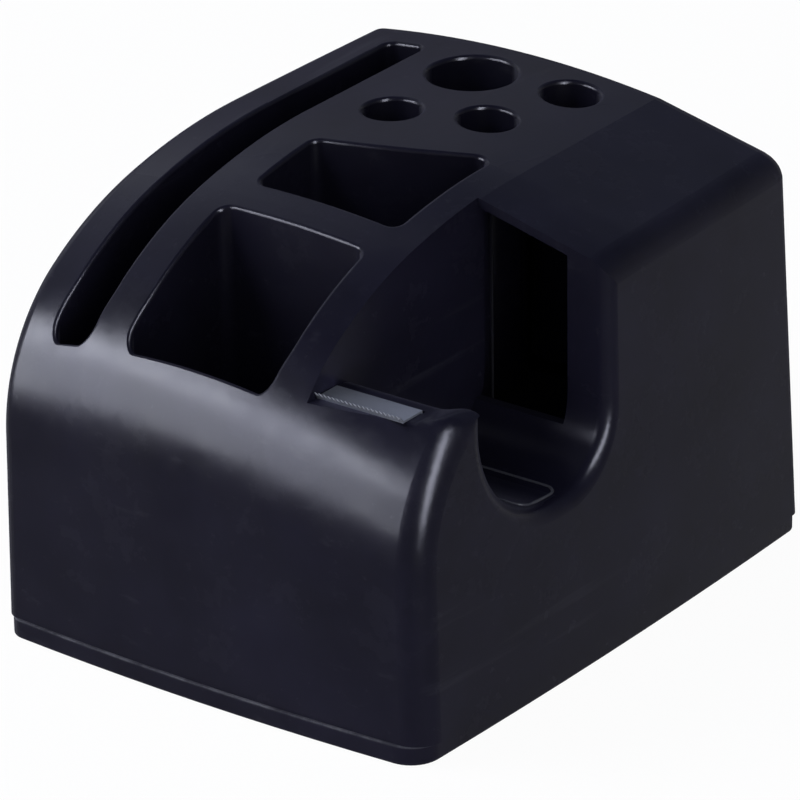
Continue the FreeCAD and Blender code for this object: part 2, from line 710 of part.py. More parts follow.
def base_plate():
    plan = base_outline("base_plan", "dims.rim_proud", "dims.base_rise")
    slab = raised("base_slab", plan, "dims.parting_height - dims.base_rise")
    slab = cornered("base_corners", slab, size("rim_proud"))
    slab = rounded("base_edge", slab, [(within(None, None, (0, size("base_rise") + 0.01)),
                                        size("base_round"))])
    inside = "dims.base_rise + dims.base_floor"
    tongue_face = size("wall") + size("fit_gap")
    tongue = raised("tongue", base_outline("tongue_plan", "-(dims.wall + dims.fit_gap)", inside),
                    f"dims.parting_height + dims.tongue_height - ({inside})")
    tongue = cornered("tongue_corners", tongue, -tongue_face)
    hollow_in = "-(dims.wall + dims.fit_gap + dims.tongue_width)"
    hollow = raised("base_hollow", base_outline("base_hollow_plan", hollow_in, inside),
                    "dims.parting_height + dims.tongue_height")
    hollow = cornered("base_hollow_corners", hollow, -tongue_face - size("tongue_width"))
    ring = cut("base_ring", joined("base_and_tongue", [slab, tongue]), hollow)
    clear = joined("base_clearances", [tongue_gap()] + tongue_notches())
    tray = cut("base_tray", ring, clear)
    solid = joined("base_with_fittings", [tray] + base_fittings(inside))
    piece(cut("base_solid", solid, joined("base_holes", base_holes(inside))), "base_plate")


def tongue_gap():
    """The gap in the tongue that the drawer slides through."""
    edge = "(dims.drawer_width / 2 + dims.drawer_gap)"
    return box("tongue_gap", "-dims.body_width / 2", "-dims.body_width / 2 + 3 * dims.wall",
               f"-{edge}", edge, "dims.parting_height", "dims.parting_height + 2 * dims.tongue_height")


def tongue_notches():
    """Gaps in the tongue for the ribs of the screw bosses."""
    notches = []
    half = "(dims.boss_rib / 2 + dims.fit_gap)"
    high = "dims.parting_height + 2 * dims.tongue_height"
    for number, (way_x, way_y, x, y) in enumerate(corners_of("boss"), start=1):
        notches.append(box(f"side_notch_{number}", *ordered(x, f"{way_x} * dims.body_width / 2", way_x),
                           f"{y} - {half}", f"{y} + {half}", "dims.parting_height", high))
        notches.append(box(f"end_notch_{number}", f"{x} - {half}", f"{x} + {half}",
                           *ordered(y, f"{way_y} * dims.body_depth / 2", way_y),
                           "dims.parting_height", high))
    return notches


def base_fittings(inside):
    """Screw pads, runners and guide rails of the drawer, its stop, and the ballast's pegs."""
    fittings = []
    for number, (_, _, x, y) in enumerate(corners_of("boss"), start=1):
        fittings.append(cylinder(f"screw_pad_{number}", "dims.boss_diameter + 2", x, y, inside,
                                 "dims.parting_height"))
    left, right = "-dims.body_width / 2 + 3 * dims.wall", "dims.drawer_inner_end"
    bed = "dims.parting_height + dims.drawer_gap - dims.fit_gap"
    face = "(dims.drawer_width / 2 - dims.tray_gap + dims.fit_gap)"
    for way in (1, -1):
        side = "right" if way > 0 else "left"
        fittings.append(box(f"runner_{side}", left, right, f"{way} * dims.runner_y - dims.runner_width / 2",
                            f"{way} * dims.runner_y + dims.runner_width / 2", inside, bed))
        near, far = f"{way} * {face}", f"{way} * ({face} + dims.rail_width)"
        fittings.append(box(f"rail_{side}", left, right, *ordered(near, far, way), inside,
                            f"{inside} + dims.rail_height"))
        fittings.append(cylinder(f"peg_{side}", "dims.peg_diameter",
                                 BALLAST_MIDDLE, f"{way} * dims.peg_y",
                                 inside, f"{inside} + dims.peg_height"))
    fittings.append(box("drawer_stop", "dims.drawer_inner_end + dims.fit_gap",
                        "dims.drawer_inner_end + dims.fit_gap + dims.rail_width", "-dims.runner_y",
                        "dims.runner_y", inside, f"{inside} + 1.5 * dims.rail_height"))
    return fittings


def base_holes(inside):
    """Counterbored screw holes and the foot recesses, from below."""
    holes = []
    below = "-dims.base_rise"
    for number, (_, _, x, y) in enumerate(corners_of("boss"), start=1):
        holes.append(cylinder(f"screw_hole_{number}", "dims.screw_diameter + dims.fit_gap", x, y, below,
                              "dims.parting_height + dims.base_rise"))
        holes.append(cylinder(f"counterbore_{number}", "dims.screw_head + 2 * dims.fit_gap", x, y, below,
                              "dims.base_rise + dims.head_depth"))
    for number, (_, _, x, y) in enumerate(corners_of("foot"), start=1):
        holes.append(cylinder(f"foot_recess_{number}", "dims.foot_diameter + dims.fit_gap", x, y, below,
                              "dims.foot_height"))
    return holes


# Drawer


def drawer(form):
    """The tray and its front panel, which is flush with the housing's left wall."""
    edge, low = "(dims.drawer_width / 2)", "(dims.parting_height + dims.drawer_gap)"
    panel_inside = "(-dims.body_width / 2 + dims.side_bow + dims.drawer_front_wall)"
    block = box("drawer_front_block", "-dims.body_width / 2 - dims.overhang", panel_inside,
                f"-{edge}", edge, low, "dims.drawer_high")
    panel = joined("drawer_front_panel", [block, form], "Part::MultiCommon")
    side = "(dims.drawer_width / 2 - dims.tray_gap)"
    top = "(dims.drawer_high - dims.drawer_gap)"
    tub = box("drawer_tub", panel_inside, "dims.drawer_inner_end", f"-{side}", side, low, top)
    tub = rounded("drawer_tub_round", tub, [
        (within((size("drawer_inner_end") - 1, 1000), None, None), 2 * size("drawer_wall"))])
    hollow = box("drawer_hollow", panel_inside, "dims.drawer_inner_end - dims.drawer_wall",
                 f"-({side} - dims.drawer_wall)", f"{side} - dims.drawer_wall",
                 f"{low} + dims.drawer_wall", f"{top} + dims.overhang")
    inner_low = size("parting_height") + size("drawer_gap") + size("drawer_wall") + 0.1
    hollow = rounded("drawer_hollow_round", hollow, [
        (within(None, None, (0, inner_low)), size("drawer_wall"))])
    shell = joined("drawer_shell", [panel, cut("drawer_tray", tub, hollow)] + stop_lugs(side))
    piece(cut("drawer_solid", shell, scoop()), "drawer")


def stop_lugs(side):
    """Lugs on the tray's sides that meet the inside of the left wall at full travel."""
    start = ("-dims.body_width / 2 + dims.side_bow + dims.wall + dims.fit_gap + dims.drawer_travel")
    low = "dims.base_rise + dims.base_floor + dims.rail_height + 4 * dims.fit_gap"
    lugs = []
    for way in (1, -1):
        near, far = f"{way} * ({side} - dims.drawer_wall / 2)", f"{way} * ({side} + dims.stop_reach)"
        lugs.append(box(f"stop_lug_{'rear' if way > 0 else 'front'}", start,
                        f"{start} + dims.stop_length", *ordered(near, far, way), low,
                        f"{low} + dims.stop_height"))
    return lugs


def scoop():
    """The finger scoop in the upper edge of the front panel."""
    dip = cylinder("finger_scoop", "2 * dims.pull_radius", "-dims.body_width / 2 - dims.overhang",
                   "0", "dims.drawer_high + dims.pull_radius - dims.pull_depth", "0")
    bind(dip, Height="dims.overhang + dims.side_bow + 2 * dims.drawer_front_wall")
    dip.Placement.Rotation = Rotation(Vector(0, 1, 0), 90)
    bind(dip, Placement__Base__z="dims.drawer_high + dims.pull_radius - dims.pull_depth")
    return dip


# Blade


def origin_plane(body, role):
    return next(plane for plane in body.Origin.OriginFeatures if plane.Role == role)


def sketch_on(body, name, role, corners):
    sketch = body.newObject("Sketcher::SketchObject", name)
    sketch.AttachmentSupport = (origin_plane(body, role), "")
    sketch.MapMode = "FlatFace"
    DOC.recompute()
    draw(sketch, corners, {})
    return sketch


def cutter_blade():
    """A bent steel strip: a tail in its slot, a flat, and a toothed edge turned up at the front."""
    body = DOC.addObject("PartDesign::Body", "blade")
    sheet, reach = "dims.blade_sheet", "dims.blade_reach"
    tip = f"-{reach} - dims.tooth_lean"
    side = sketch_on(body, "blade_side", "YZ_Plane", [
        (f"-{sheet}", "-dims.blade_tail"), ("0 * dims.blade_sheet", "-dims.blade_tail"),
        ("0 * dims.blade_sheet", sheet), (f"-{reach}", sheet),
        (tip, f"{sheet} + dims.tooth_height"), (f"{tip} - dims.tooth_tip", f"{sheet} + dims.tooth_height"),
        (f"-{reach} - {sheet} / 2", "0 * dims.blade_sheet"), (f"-{sheet}", "0 * dims.blade_sheet")])
    pad = body.newObject("PartDesign::Pad", "blade_strip")
    pad.Profile = side
    bind(pad, Length="dims.blade_length")
    DOC.recompute()
    pitch = "(dims.blade_length / dims.tooth_count)"
    crest = f"{sheet} + dims.tooth_height * 1.1"
    gap = sketch_on(body, "tooth_gap", "XZ_Plane", [
        (f"{pitch} / 2", f"{sheet} + dims.tooth_height * 0.1"), (f"{pitch} * 0.95", crest),
        (f"{pitch} * 0.05", crest)])
    pocket = body.newObject("PartDesign::Pocket", "tooth_cut")
    pocket.Profile = gap
    pocket.Type = "ThroughAll"
    pocket.Midplane = True
    DOC.recompute()
    row = body.newObject("PartDesign::LinearPattern", "tooth_row")
    row.Originals = [pocket]
    row.Direction = (gap, ["H_Axis"])
    bind(row, Length=f"{pitch} * (dims.tooth_count - 1)", Occurrences="dims.tooth_count")
    body.Tip = row
    bind(body, Placement__Base__x="dims.lane_left + dims.fit_gap",
         Placement__Base__y=BLADE_REAR, Placement__Base__z=SEAT_HEIGHT)
    piece(body, "cutter_blade")


# Ballast, screws and feet


def ballast():
    low = "dims.base_rise + dims.base_floor"
    half = "(dims.ballast_length / 2)"
    half_width = "dims.ballast_width / 2"
    block = box("ballast_square", f"{BALLAST_MIDDLE} - {half_width}", f"{BALLAST_MIDDLE} + {half_width}",
                f"-{half}", half, low, f"{low} + dims.ballast_height")
    block = rounded("ballast_rounded", block, [(upright, size("ballast_round")), (within(
        None, None, (size("ballast_height"), 1000)), size("ballast_round"))])
    holes = [cylinder(f"ballast_hole_{number}", "dims.peg_diameter + 2 * dims.fit_gap",
                      BALLAST_MIDDLE, f"{way} * dims.peg_y",
                      "0 * dims.peg_y", f"{low} + dims.peg_height + dims.fit_gap")
             for number, way in enumerate((1, -1), start=1)]
    piece(cut("ballast_solid", block, joined("ballast_holes", holes)), "ballast_block")


def screws():
    """Four screws, up through the base plate into the bosses."""
    group = []
    seat_z = "dims.base_rise + dims.head_depth"
    for number, (_, _, x, y) in enumerate(corners_of("boss"), start=1):
        head = cylinder(f"screw_head_{number}", "dims.screw_head", x, y,
                        f"{seat_z} - dims.head_height", seat_z)
        shank = cylinder(f"screw_shank_{number}", "dims.pilot", x, y, seat_z,
                         f"{seat_z} + dims.screw_length")
        group.append(joined(f"screw_{number}", [head, shank]))
    bundle = DOC.addObject("Part::Compound", "screw_group")
    bundle.Links = group
    piece(bundle, "base_screws")


def feet():
    names = ("rear_right", "front_right", "rear_left", "front_left")
    for name, (_, _, x, y) in zip(names, corners_of("foot")):
        pad = cylinder(f"pad_{name}", "dims.foot_diameter", x, y, "0", "dims.foot_height")
        piece(pad, f"foot_pad_{name}")


# The document: build, check, write


def check():
    """Refuse to write a document in which anything failed."""
    DOC.recompute()
    for obj in DOC.Objects:
        if {"Invalid", "Error"} & set(obj.State):
            raise RuntimeError(f"{obj.Name} failed: {obj.State}")
    for obj in PIECES:
        if obj.Shape.isNull() or not obj.Shape.isValid():
            raise RuntimeError(f"{obj.Label} has no sound shape")


outer_form = housing()
base_plate()
drawer(outer_form)
cutter_blade()
ballast()
screws()
feet()
check()
os.makedirs("parts", exist_ok=True)
for obj in PIECES:
    obj.Shape.exportStep(f"parts/{obj.Label}.step")
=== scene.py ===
"""Looks of the desk organiser: black moulded plastic, a steel cutter, soft studio light."""
import math

import bpy
from mathutils import Matrix, Vector


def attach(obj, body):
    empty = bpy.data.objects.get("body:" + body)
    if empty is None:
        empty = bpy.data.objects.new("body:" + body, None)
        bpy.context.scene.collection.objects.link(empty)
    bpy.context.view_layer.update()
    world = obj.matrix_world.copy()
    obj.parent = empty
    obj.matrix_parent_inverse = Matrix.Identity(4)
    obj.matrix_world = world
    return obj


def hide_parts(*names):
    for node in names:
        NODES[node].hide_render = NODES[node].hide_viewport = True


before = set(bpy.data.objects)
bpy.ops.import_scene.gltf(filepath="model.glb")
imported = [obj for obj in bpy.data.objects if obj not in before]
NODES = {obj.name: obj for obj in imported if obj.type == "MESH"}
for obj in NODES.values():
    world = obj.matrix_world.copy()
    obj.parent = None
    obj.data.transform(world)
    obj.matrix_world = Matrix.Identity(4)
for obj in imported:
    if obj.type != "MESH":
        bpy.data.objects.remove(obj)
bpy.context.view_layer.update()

MM = 0.001
SCENE = bpy.context.scene

# Camera, solved from the outline of the object: the direction it looks from, its roll in radians,
# how far it stands from the object's origin in metres, and where that origin falls in the square
# picture, in pixels.
AZIMUTH = math.radians(36.90)
ELEVATION = math.radians(24.37)
ROLL = -0.015
DISTANCE = 1.4097
ORIGIN_PIXEL = (409.1, 581.0)
FOCAL_PIXELS = 6000
PICTURE = 800
SENSOR = 36
CLIP_END = 20

# The brow of the housing, in millimetres: the arc over its front wall, crowned and bowed across X.
HALF_WIDTH = 60
FRONT_WALL = -75.5
FRONT_BOW = 2.2
FRONT_HEIGHT = 50.7
BROW_RADIUS = 43.2
CROWN_RADIUS = 277
CROWN_CENTRE = -16
POCKET_FLOOR = 45
RIM_DEPTH = 2

# How far the front sides of the slot and the front pocket are drawn back and to the left over it,
# and the reach of that: behind the front wall, and the plain margins left and right of them.
SILL_BACK = 2.5
SILL_LEFT = 0.9
SILL_START, SILL_FLAT, SILL_END = 3.5, 7, 18
SILL_LEFT_FADE = (-55.5, -50)
SILL_RIGHT_FADE = (17.5, 23)

# The top of the front wall right of the cutter, in millimetres. It is levelled off over a range along
# Y and, past a fade, across X. Points within LEVEL_DEPTH below the level start to give way to it. To
# the right of ROUND_START the level itself falls away round. Points that drop less than LEAST_DROP
# stay.
LEVEL_FADE = (46.5, 50)
LEVEL_SPAN = (-70, -49)
LEVEL_HEIGHT = 78.6
LEVEL_SOFT = 0.7
LEVEL_DEPTH = 6 * LEVEL_SOFT
ROUND_START = 54
ROUND_RADIUS = 7
LEAST_DROP = LEVEL_SOFT / 100

# The new normals there: the angle at which two faces count as meeting in an edge, and the decimals of
# a metre to which two points must agree to count as one.
SHADING_ANGLE = math.radians(50)
WELD_DECIMALS = 6

# The tape lane's floor, in millimetres: two arcs and the flat between them, seen along X.
LANE_REAR = -4.2
LANE_FLOOR = 46
REAR_ARC = 17
FRONT_ARC = 27
FRONT_ARC_CENTRE = -24.2

# The bare raised frame on that floor: its sides, its ends along the floor, corner and thickness.
PANEL_X = (30, 56)
PANEL_RUN = (-11.5, 2.5)
PANEL_CORNER = 3
PANEL_RIDGE = 0.35
CORNER_STEPS = 6
RIDGE_SMOOTHNESS = 3

# Colours. A mottled colour runs from dark to light over the MOTTLE part of its noise, and DARKER and
# LIGHTER are those two tones as shares of the colour given.
WHITE = (1, 1, 1)
COOL = (0.86, 0.89, 1)
BLACK_PLASTIC = (0.0085, 0.0079, 0.0148)
# A lighter plastic, used for the raised ridge round the bare panel on the tape lane's floor.
LIGHTER_RIDGE_PLASTIC = (0.06, 0.06, 0.068)
# The tone of specks of dust and scratches; along the base's ledge it is also a painted highlight.
DUST_AND_HIGHLIGHT_TONE = (0.08, 0.08, 0.09)
BLADE_STEEL = (0.2, 0.21, 0.235)
SCREW_STEEL = (0.45, 0.45, 0.47)
IRON_DARK, IRON_LIGHT = (0.03, 0.03, 0.03), (0.07, 0.065, 0.06)
RUBBER_DARK, RUBBER_LIGHT = (0.012, 0.012, 0.012), (0.022, 0.022, 0.022)
FLOOR_PAPER = (0.82, 0.82, 0.82)
MOTTLE = (0.3, 0.7)
DARKER, LIGHTER = 0.8, 1.25

# The plastic's gloss: its specular level, its roughness where clean and where smudged, the part of
# the noise over which smudges grow, and its roughness at a slant, with the range of slants over which
# it gets there. Last comes the range of heights of the base's ledge, in metres, where dust lies and a
# light line is painted in as a highlight.
PLASTIC_SPECULAR = 0.032
CLEAN, SMUDGED = 0.19, 0.3
SMUDGES = (0.36, 0.64)
GRAZING = (0.52, 0.72)
GRAZING_ROUGHNESS = 0.8
LEDGE_DUST_AND_HIGHLIGHT = (0.0046, 0.006)

# A white sweep up to a little over the horizon, and a dim ceiling: (height of the ray, colour). As a
# light it has SKY_LIGHT of the strength at which it is seen. Where the floor is seen, FLOOR_GLOW of it
# is white glow and the rest is lit paper, which keeps the object's shadow. FLOOR_REACH is in metres.
SKY = [(0.15, WHITE), (0.6, (0.52, 0.58, 0.8)), (0.85, (0.2, 0.24, 0.38))]
SKY_LIGHT = 0.5
FLOOR_REACH = 4
FLOOR_GLOW = 0.96

# Lights, LIGHT_DISTANCE from the middle of the object. Each has a name, the azimuth and elevation it
# stands at in degrees, its width and height, its power and its colour. Softboxes light the surface
# and don't show as reflections: width and height in metres, power in watts. Gloss panels only show
# as reflections: width and height in degrees, power in units of white.
MIDDLE = Vector((0, 0, 60 * MM))
LIGHT_DISTANCE = 1.5
SOFTBOXES = [
    ("key_left", (-53, 47), (0.7, 0.5), 13, COOL),
    ("fill_right", (67, 28), (0.8, 0.8), 2, WHITE),
]
GLOSS_PANELS = [
    ("window_left", (-38, 14), (48, 36), 55, COOL),
    ("window_band", (-36, 24), (44, 10), 66, COOL),
    ("window_far_left", (-95, 40), (60, 50), 1.5, COOL),
    ("window_right", (62, 26), (16, 56), 125, COOL),
]


# Materials


def material(name):
    """A new material with a Principled shader; returns it, its nodes, its links and the shader."""
    mat = bpy.data.materials.new(name)
    mat.use_nodes = True
    tree = mat.node_tree
    return mat, tree.nodes, tree.links, tree.nodes["Principled BSDF"]


def calculated(nodes, links, operation, *values):
    """The result of a Math node; each value is a socket or a number."""
    node = nodes.new("ShaderNodeMath")
    node.operation = operation
    for socket, value in zip(node.inputs, values):
        if isinstance(value, (int, float)):
            socket.default_value = value
        else:
            links.new(value, socket)
    return node.outputs[0]


def noise(nodes, links, scale, detail, roughness, stretch=None):
    """A noise texture in object space; scale is in features per metre."""
    place = nodes.new("ShaderNodeTexCoord")
    texture = nodes.new("ShaderNodeTexNoise")
    texture.inputs["Scale"].default_value = scale
    texture.inputs["Detail"].default_value = detail
    texture.inputs["Roughness"].default_value = roughness
    source = place.outputs["Object"]
    if stretch:
        mapping = nodes.new("ShaderNodeMapping")
        mapping.inputs["Scale"].default_value = stretch
        links.new(source, mapping.inputs["Vector"])
        source = mapping.outputs["Vector"]
    links.new(source, texture.inputs["Vector"])
    return texture.outputs["Fac"]


def ramp(nodes, links, source, stops):
    """A colour ramp over a value; stops is a list of (position, colour)."""
    node = nodes.new("ShaderNodeValToRGB")
    elements = node.color_ramp.elements
    for element, (position, colour) in zip(elements, (stops[0], stops[-1])):
        element.position = position
        element.color = (*colour, 1)
    for position, colour in stops[1:-1]:
        elements.new(position).color = (*colour, 1)
    links.new(source, node.inputs["Fac"])
    return node.outputs["Color"]


def mottled(nodes, links, source, dark, light):
    """A colour between two tones, over the middle of a noise's range."""
    return ramp(nodes, links, source, list(zip(MOTTLE, (dark, light))))


def scaled(colour, factor):
    """A colour times a factor."""
    return tuple(value * factor for value in colour)


def spread(nodes, links, source, low, high, span=(0, 1)):
    """Map a value from its span, 0..1 unless given, to low..high."""
    node = nodes.new("ShaderNodeMapRange")
    node.inputs["From Min"].default_value, node.inputs["From Max"].default_value = span
    node.inputs["To Min"].default_value = low
    node.inputs["To Max"].default_value = high
    links.new(source, node.inputs["Value"])
    return node.outputs["Result"]


def bumped(nodes, links, shader, heights):
    """Chain bumps on the shader; heights is a list of (height source, strength, distance in m)."""
    normal = None
    for source, strength, distance in heights:
        bump = nodes.new("ShaderNodeBump")
        bump.inputs["Strength"].default_value = strength
        bump.inputs["Distance"].default_value = distance
        links.new(source, bump.inputs["Height"])
        if normal:
            links.new(normal, bump.inputs["Normal"])
        normal = bump.outputs["Normal"]
    links.new(normal, shader.inputs["Normal"])


def dust_and_highlight_line(nodes, links, low, high):
    """A broken line of dust and scuffs, with a painted highlight, between two heights, in metres."""
    place = nodes.new("ShaderNodeTexCoord")
    parts = nodes.new("ShaderNodeSeparateXYZ")
    links.new(place.outputs["Object"], parts.inputs["Vector"])
    middle, half = (low + high) / 2, (high - low) / 2
    above = calculated(nodes, links, "SUBTRACT", parts.outputs["Z"], middle)
    away = calculated(nodes, links, "ABSOLUTE", above)
    near = spread(nodes, links, away, low=1, high=0, span=(half * 0.5, half))
    grain = noise(nodes, links, scale=120, detail=6, roughness=0.7)
    broken = spread(nodes, links, grain, low=0.35, high=1, span=(0.4, 0.56))
    return calculated(nodes, links, "MULTIPLY", near, broken)


def dusted_and_highlighted(nodes, links, colour, dust_and_highlight_band):
    """A colour under specks of dust, fine scratches and, between two heights, a line of dust with a
    painted highlight.
    """
    specks = noise(nodes, links, scale=330, detail=7, roughness=0.75)
    marks_and_highlight = spread(nodes, links, specks, low=0, high=0.3, span=(0.62, 0.8))
    scratches = noise(nodes, links, scale=90, detail=3, roughness=0.6, stretch=(1, 0.12, 3))
    scratched = spread(nodes, links, scratches, low=0, high=0.09, span=(0.64, 0.74))
    marks_and_highlight = calculated(nodes, links, "MAXIMUM", marks_and_highlight, scratched)
    # Between the two heights the colour lightens as dust and as a painted highlight along the ledge.
    if dust_and_highlight_band:
        marks_and_highlight = calculated(nodes, links, "MAXIMUM", marks_and_highlight, dust_and_highlight_line(nodes, links, *dust_and_highlight_band))
    mix = nodes.new("ShaderNodeMix")
    mix.data_type = "RGBA"
    links.new(marks_and_highlight, mix.inputs["Factor"])
    links.new(colour, mix.inputs["A"])
    mix.inputs["B"].default_value = (*DUST_AND_HIGHLIGHT_TONE, 1)
    return mix.outputs["Result"]


def black_plastic(name, tone=BLACK_PLASTIC, dust_and_highlight_band=None):
    """Moulded black plastic with a blue cast, with smudges, fine scratches and specks of dust.

    The last argument, when given, is a range of heights, in metres, between which more dust lies and a
    highlight is painted.
    """
    mat, nodes, links, shader = material(name)
    cloud = noise(nodes, links, scale=35, detail=5, roughness=0.6)
    colour = mottled(nodes, links, cloud, scaled(tone, DARKER), scaled(tone, LIGHTER))
    links.new(dusted_and_highlighted(nodes, links, colour, dust_and_highlight_band), shader.inputs["Base Color"])
    haze = noise(nodes, links, scale=60, detail=8, roughness=0.7)
    smudged = spread(nodes, links, haze, CLEAN, SMUDGED, SMUDGES)
    slant = nodes.new("ShaderNodeLayerWeight").outputs["Facing"]
    soft = spread(nodes, links, slant, CLEAN, GRAZING_ROUGHNESS, GRAZING)
    roughness = calculated(nodes, links, "MAXIMUM", smudged, soft)
    links.new(roughness, shader.inputs["Roughness"])
    shader.inputs["Specular IOR Level"].default_value = PLASTIC_SPECULAR
    peel = noise(nodes, links, scale=900, detail=2, roughness=0.5)
    sink = noise(nodes, links, scale=28, detail=2, roughness=0.4)
    bumped(nodes, links, shader, [(peel, 0.04, 0.2 * MM), (sink, 0.05, 2 * MM)])
    return mat


def steel(name, tone, brush):
    """Steel with a grain; brush is how much finer than usual the grain is along X, Y and Z."""
    mat, nodes, links, shader = material(name)
    grain = noise(nodes, links, scale=25, detail=4, roughness=0.6, stretch=brush)
    colour = mottled(nodes, links, grain, scaled(tone, DARKER), tone)
    links.new(colour, shader.inputs["Base Color"])
    links.new(spread(nodes, links, grain, low=0.28, high=0.45), shader.inputs["Roughness"])
    shader.inputs["Metallic"].default_value = 1
    bumped(nodes, links, shader, [(grain, 0.1, 0.05 * MM)])
    return mat


def cast_iron(name):
    """Rough cast iron."""
    mat, nodes, links, shader = material(name)
    grain = noise(nodes, links, scale=700, detail=6, roughness=0.7)
    colour = mottled(nodes, links, grain, IRON_DARK, IRON_LIGHT)
    links.new(colour, shader.inputs["Base Color"])
    shader.inputs["Metallic"].default_value = 0.6
    shader.inputs["Roughness"].default_value = 0.7
    bumped(nodes, links, shader, [(grain, 0.4, 0.3 * MM)])
    return mat


def rubber(name):
    """Dull black rubber."""
    mat, nodes, links, shader = material(name)
    grain = noise(nodes, links, scale=1500, detail=3, roughness=0.6)
    colour = mottled(nodes, links, grain, RUBBER_DARK, RUBBER_LIGHT)
    links.new(colour, shader.inputs["Base Color"])
    shader.inputs["Roughness"].default_value = 0.8
    shader.inputs["Specular IOR Level"].default_value = 0.3
    bumped(nodes, links, shader, [(grain, 0.2, 0.1 * MM)])
    return mat


def dress(node, mat):
    """Give a CAD node its material on every slot."""
    slots = NODES[node].material_slots
    for slot in slots:
        slot.material = mat
    if not slots:
        NODES[node].data.materials.append(mat)


def cover(obj, mat):
    """Give a piece of this script its only material."""
    obj.data.materials.clear()
    obj.data.materials.append(mat)


def dress_all(shell, ridge):
    """Give every piece and every CAD node its material."""
    plastic = black_plastic("housing_plastic")
    dress("housing", plastic)
    cover(shell, plastic)
    cover(ridge, black_plastic("ridge_plastic", LIGHTER_RIDGE_PLASTIC))
    # The base's ledge gets dust and a painted highlight line.
    dress("base_plate", black_plastic("base_plastic", dust_and_highlight_band=LEDGE_DUST_AND_HIGHLIGHT))
    dress("drawer", black_plastic("drawer_plastic"))
    dress("cutter_blade", steel("blade_steel", BLADE_STEEL, brush=(8, 400, 400)))
    dress("base_screws", steel("screw_steel", SCREW_STEEL, brush=(60, 60, 60)))
    dress("ballast_block", cast_iron("ballast_iron"))
    pads = rubber("foot_rubber")
    for node in NODES:
        if node.startswith("foot_pad"):
            dress(node, pads)


# Shapes


def eased(low, high, value):
    """0 below low, 1 above high, and a smooth step between them."""
    share = min(max((value - low) / (high - low), 0), 1)
    return share * share * (3 - 2 * share)


def behind_front(x, y):
    """How far a point lies behind the bowed front wall."""
    return y - FRONT_WALL + FRONT_BOW * (1 - (x / HALF_WIDTH) ** 2)


def brow_surface(x, y):
    """The brow's height at x, y and the direction that it faces there."""
    turn = math.acos(1 - behind_front(x, y) / BROW_RADIUS)
    left_reach, across = HALF_WIDTH + CROWN_CENTRE, x - CROWN_CENTRE
    crown = (left_reach**2 - across**2) / (2 * CROWN_RADIUS)
    rise = 1 / math.tan(turn)
    aside = -across / CROWN_RADIUS - rise * 2 * FRONT_BOW * x / HALF_WIDTH**2
    height = FRONT_HEIGHT + crown + BROW_RADIUS * math.sin(turn)
    return height, Vector((-aside, -rise, 1)).normalized()


def sill_shift(spot):
    """How a point of the housing moves, in millimetres, and how its surface turns, or None."""
    x, y, z = spot
    depth = behind_front(x, y)
    share = eased(0, SILL_START, depth) * (1 - eased(SILL_FLAT, SILL_END, depth))
    share *= eased(*SILL_LEFT_FADE, x) * (1 - eased(*SILL_RIGHT_FADE, x))
    if share == 0 or z < POCKET_FLOOR or depth > SILL_END:
        return None
    height, faces = brow_surface(x, y)
    beside, behind = x - SILL_LEFT * share, y + SILL_BACK * share
    new_height, new_faces = brow_surface(beside, behind)
    near_top = min((z - POCKET_FLOOR) / (height - RIM_DEPTH - POCKET_FLOOR), 1)
    move = Vector((beside - x, behind - y, (new_height - height) * near_top))
    return move, faces.rotation_difference(new_faces)


def level_drop(spot):
    """How far down a point of the housing moves where the front wall's top is levelled off."""
    x, y, z = spot
    share = eased(*LEVEL_FADE, x)
    beyond = min(max(x - ROUND_START, 0), ROUND_RADIUS)
    level = LEVEL_HEIGHT - ROUND_RADIUS + math.sqrt(ROUND_RADIUS**2 - beyond**2)
    if share == 0 or not LEVEL_SPAN[0] < y < LEVEL_SPAN[1] or z < level - LEVEL_DEPTH:
        return 0
    above = (z - level) / LEVEL_SOFT
    return share * LEVEL_SOFT * math.log(1 + math.exp(above))


def draw_sills_back(mesh, normals):
    """Move the front sides of the slot and the front pocket, and turn their corner normals."""
    shifts = [sill_shift(vertex.co / MM) for vertex in mesh.vertices]
    for loop in mesh.loops:
        if shifts[loop.vertex_index]:
            normals[loop.index].rotate(shifts[loop.vertex_index][1])
    for vertex, shift in zip(mesh.vertices, shifts):
        if shift:
            vertex.co += shift[0] * MM


def level_off(mesh):
    """Level the front wall's top right of the cutter; returns the vertices that moved."""
    moved = set()
    for vertex in mesh.vertices:
        drop = level_drop(vertex.co / MM)
        if drop > LEAST_DROP:
            vertex.co.z -= drop * MM
            moved.add(vertex.index)
    return moved


def smooth_normals(mesh, normals, moved):
    """New corner normals at the moved vertices, each over the faces that turn little from its own."""
    places = [tuple(round(value, WELD_DECIMALS) for value in vertex.co) for vertex in mesh.vertices]
    around = {}
    for face in mesh.polygons:
        for index in face.vertices:
            around.setdefault(places[index], []).append(face)
    for face in mesh.polygons:
        for loop in face.loop_indices:
            index = mesh.loops[loop].vertex_index
            if index not in moved:
                continue
            total = Vector()
            for other in around[places[index]]:
                if other.area > 0 and other.normal.angle(face.normal, 0) < SHADING_ANGLE:
                    total += other.normal * other.area
            if total.length > 0:
                normals[loop] = total.normalized()


def housing_shell():
    """The housing with its slot and front pocket drawn back up the brow and its right top levelled."""
    mesh = NODES["housing"].data.copy()
    normals = [corner.vector.copy() for corner in mesh.corner_normals]
    draw_sills_back(mesh, normals)
    smooth_normals(mesh, normals, level_off(mesh))
    mesh.normals_split_custom_set(normals)
    shell = bpy.data.objects.new("housing_shell", mesh)
    SCENE.collection.objects.link(shell)
    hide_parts("housing")
    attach(shell, "body")
    return shell


